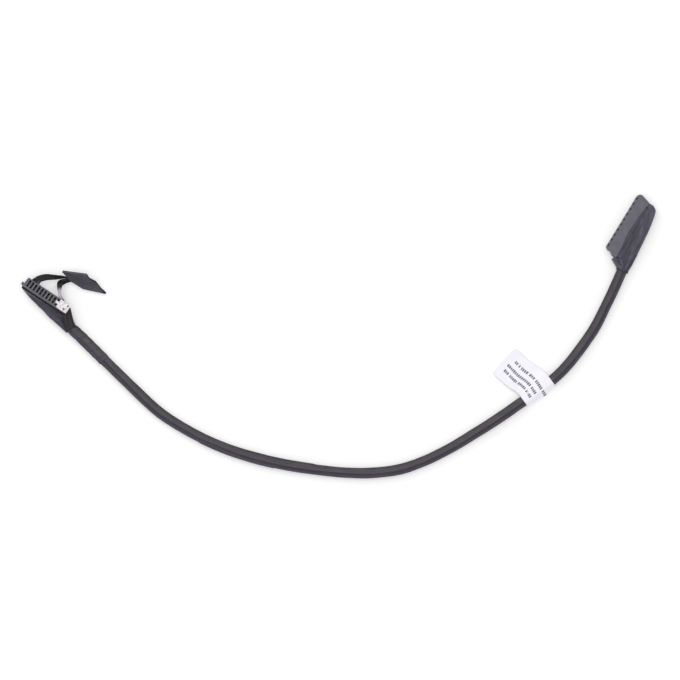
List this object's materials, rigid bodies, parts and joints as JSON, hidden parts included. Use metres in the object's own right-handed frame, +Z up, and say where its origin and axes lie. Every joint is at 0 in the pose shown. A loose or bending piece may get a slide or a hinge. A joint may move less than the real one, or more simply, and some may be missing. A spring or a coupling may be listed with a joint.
{
  "type": "laptop battery cable",
  "caption": "Laptop battery cable: dark sleeved wire bundle from a small board plug with a film pull strap to a wider battery plug, with a folded white label flag",
  "frame": {"origin": "Centre of the battery plug's underside, on the plane the cable lies on (mount rest_face).", "axes": "+Z up from the plane the cable lies on, -Z the outward normal of mount rest_face; X along the cable's long side, with the board plug towards -X and the battery plug at the origin; +Y away from the cable's bow, which bulges towards -Y."},
  "size_m": [0.211, 0.0944, 0.0072],
  "materials": {
    "wire_insulation": "black insulation, satin",
    "sleeve_film": "dark grey film sleeve with a soft shine",
    "cloth_tape": "dark acetate cloth tape, fine weave",
    "plug_plastic": "moulded grey-black plastic",
    "bright_steel": "bright stamped sheet",
    "tinned_contact": "tinned sheet metal",
    "label_paper": "matt white label stock, left without print",
    "strap_film": "black glossy film"
  },
  "bodies": {
    "root": {"wire_01": "wire_insulation", "wire_02": "wire_insulation", "wire_03": "wire_insulation", "wire_04": "wire_insulation", "wire_05": "wire_insulation", "wire_06": "wire_insulation", "wire_07": "wire_insulation", "wire_08": "wire_insulation", "wire_09": "wire_insulation", "wire_10": "wire_insulation", "sleeve": "sleeve_film", "board_tape": "cloth_tape", "battery_tape": "cloth_tape", "tape_wrap": "cloth_tape", "battery_housing": "plug_plastic", "board_housing": "plug_plastic", "end_plate": "bright_steel", "battery_contact_01": "tinned_contact", "battery_contact_02": "tinned_contact", "battery_contact_03": "tinned_contact", "battery_contact_04": "tinned_contact", "battery_contact_05": "tinned_contact", "battery_contact_06": "tinned_contact", "battery_contact_07": "tinned_contact", "battery_contact_08": "tinned_contact", "battery_contact_09": "tinned_contact", "battery_contact_10": "tinned_contact", "board_contact_01": "tinned_contact", "board_contact_02": "tinned_contact", "board_contact_03": "tinned_contact", "board_contact_04": "tinned_contact", "board_contact_05": "tinned_contact", "board_contact_06": "tinned_contact", "board_contact_07": "tinned_contact", "board_contact_08": "tinned_contact", "board_contact_09": "tinned_contact", "board_contact_10": "tinned_contact", "label": "label_paper", "pull_strap": "strap_film", "pull_tab": "cloth_tape"}
  },
  "joints": []
}
